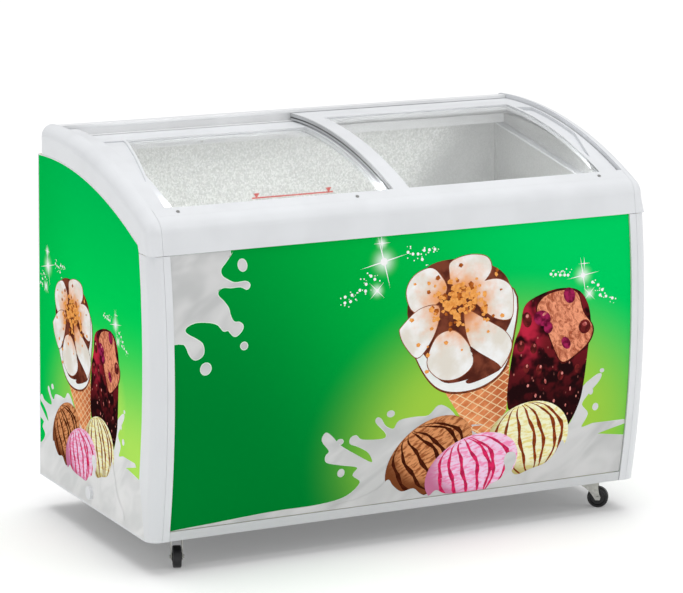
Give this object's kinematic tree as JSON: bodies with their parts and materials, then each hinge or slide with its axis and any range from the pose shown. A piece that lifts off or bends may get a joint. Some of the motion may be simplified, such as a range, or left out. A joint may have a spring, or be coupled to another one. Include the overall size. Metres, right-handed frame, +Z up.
{
  "type": "chest freezer",
  "caption": "Chest freezer with a bulged front and a curved glass top of two sliding doors, on swivel casters, for showing and selling frozen food.",
  "frame": {"origin": "middle of the bounding box on the floor, under the casters", "axes": "+X along the length, to the right for someone facing the front; +Y to the back, away from the customer; +Z up"},
  "size_m": [1.266, 0.71, 0.926],
  "materials": {
    "white_plastic": "smooth satin moulding",
    "white_steel": "smooth semi-gloss paint",
    "printed_panel": "printed film over steel sheet, satin",
    "grey_steel": "galvanised, dull",
    "embossed_aluminium": "stucco embossed",
    "glass": "clear, tempered",
    "foam": "rigid polyurethane foam",
    "dark_rubber": "matt",
    "black_plastic": "matt",
    "black_steel": "semi-gloss enamel",
    "copper": "drawn tube",
    "zinc": "zinc plated",
    "screw_steel": "bright",
    "wheel_plastic": "matt nylon"
  },
  "bodies": {
    "cabinet": {"base_pan": "grey_steel", "caster_bolts": "zinc", "caster_plates": "zinc", "compressor": "black_steel", "compressor_mounts": "dark_rubber", "condenser_coil": "black_steel", "drain_outlet": "white_plastic", "evaporator_tubes": "copper", "fan_motor": "grey_steel", "fan_shroud": "grey_steel", "filter_drier": "copper", "foam_insulation": "foam", "front_base_rail": "white_steel", "front_left_post": "white_plastic", "front_panel": "printed_panel", "front_rail": "white_plastic", "front_right_post": "white_plastic", "front_track": "white_plastic", "inner_liner": "embossed_aluminium", "left_arch": "white_plastic", "left_end_wall": "embossed_aluminium", "left_side_panel": "printed_panel", "liner_corner_trims": "embossed_aluminium", "liner_rim": "white_plastic", "power_inlet": "black_plastic", "rear_grille": "white_plastic", "rear_panel": "white_steel", "rear_rail": "white_plastic", "rear_track": "white_plastic", "refrigerant_lines": "copper", "right_arch": "white_plastic", "right_end_wall": "embossed_aluminium", "right_side_panel": "printed_panel", "screws": "screw_steel", "sensor_cover": "white_plastic", "side_grille": "white_plastic", "thermostat": "black_plastic"},
    "upper_door": {"upper_door_front_strip": "white_plastic", "upper_door_gasket": "dark_rubber", "upper_door_glass": "glass", "upper_door_left_frame": "white_plastic", "upper_door_rear_strip": "white_plastic", "upper_door_right_frame": "white_plastic"},
    "lower_door": {"lower_door_brush_seal": "dark_rubber", "lower_door_front_strip": "white_plastic", "lower_door_glass": "glass", "lower_door_left_frame": "white_plastic", "lower_door_rear_strip": "white_plastic", "lower_door_right_frame": "white_plastic"},
    "fan": {"fan_blades": "black_plastic"},
    "thermostat_knob": {"thermostat_knob": "white_plastic"},
    "drain_cap": {"drain_cap": "white_plastic"},
    "front_left_swivel": {"front_left_caster_fork": "zinc"},
    "front_left_wheel": {"front_left_caster_wheel": "wheel_plastic"},
    "front_right_swivel": {"front_right_caster_fork": "zinc"},
    "front_right_wheel": {"front_right_caster_wheel": "wheel_plastic"},
    "rear_left_swivel": {"rear_left_caster_fork": "zinc"},
    "rear_left_wheel": {"rear_left_caster_wheel": "wheel_plastic"},
    "rear_right_swivel": {"rear_right_caster_fork": "zinc"},
    "rear_right_wheel": {"rear_right_caster_wheel": "wheel_plastic"}
  },
  "joints": [
    {"name": "lower_door_slide", "type": "slide", "parent": "cabinet", "child": "lower_door", "axis": [1, 0, 0], "range_m": [0, 0.545]},
    {"name": "upper_door_slide", "type": "slide", "parent": "cabinet", "child": "upper_door", "axis": [1, 0, 0], "range_m": [-0.545, 0]},
    {"name": "fan_spin", "type": "hinge", "parent": "cabinet", "child": "fan", "pos_m": [0.535, 0, 0.2], "axis": [1, 0, 0], "continuous": true},
    {"name": "thermostat_turn", "type": "hinge", "parent": "cabinet", "child": "thermostat_knob", "pos_m": [0.378, 0.34, 0.285], "axis": [0, 1, 0], "range_deg": [-135, 135]},
    {"name": "drain_cap_pull", "type": "slide", "parent": "cabinet", "child": "drain_cap", "axis": [-1, 0, 0], "range_m": [0, 0.03]},
    {"name": "front_left_swivel_turn", "type": "hinge", "parent": "cabinet", "child": "front_left_swivel", "pos_m": [-0.528, -0.235, 0.07], "axis": [0, 0, 1], "continuous": true},
    {"name": "front_left_wheel_spin", "type": "hinge", "parent": "front_left_swivel", "child": "front_left_wheel", "pos_m": [-0.53621, -0.25755, 0.025], "axis": [0.9397, -0.342, 0], "continuous": true},
    {"name": "front_right_swivel_turn", "type": "hinge", "parent": "cabinet", "child": "front_right_swivel", "pos_m": [0.54, -0.235, 0.07], "axis": [0, 0, 1], "continuous": true},
    {"name": "front_right_wheel_spin", "type": "hinge", "parent": "front_right_swivel", "child": "front_right_wheel", "pos_m": [0.55966, -0.24877, 0.025], "axis": [0.5736, 0.8192, 0], "continuous": true},
    {"name": "rear_left_swivel_turn", "type": "hinge", "parent": "cabinet", "child": "rear_left_swivel", "pos_m": [-0.47, 0.235, 0.07], "axis": [0, 0, 1], "continuous": true},
    {"name": "rear_left_wheel_spin", "type": "hinge", "parent": "rear_left_swivel", "child": "rear_left_wheel", "pos_m": [-0.482, 0.25578, 0.025], "axis": [-0.866, -0.5, 0], "continuous": true},
    {"name": "rear_right_swivel_turn", "type": "hinge", "parent": "cabinet", "child": "rear_right_swivel", "pos_m": [0.47, 0.235, 0.07], "axis": [0, 0, 1], "continuous": true},
    {"name": "rear_right_wheel_spin", "type": "hinge", "parent": "rear_right_swivel", "child": "rear_right_wheel", "pos_m": [0.482, 0.25578, 0.025], "axis": [-0.866, 0.5, 0], "continuous": true}
  ]
}
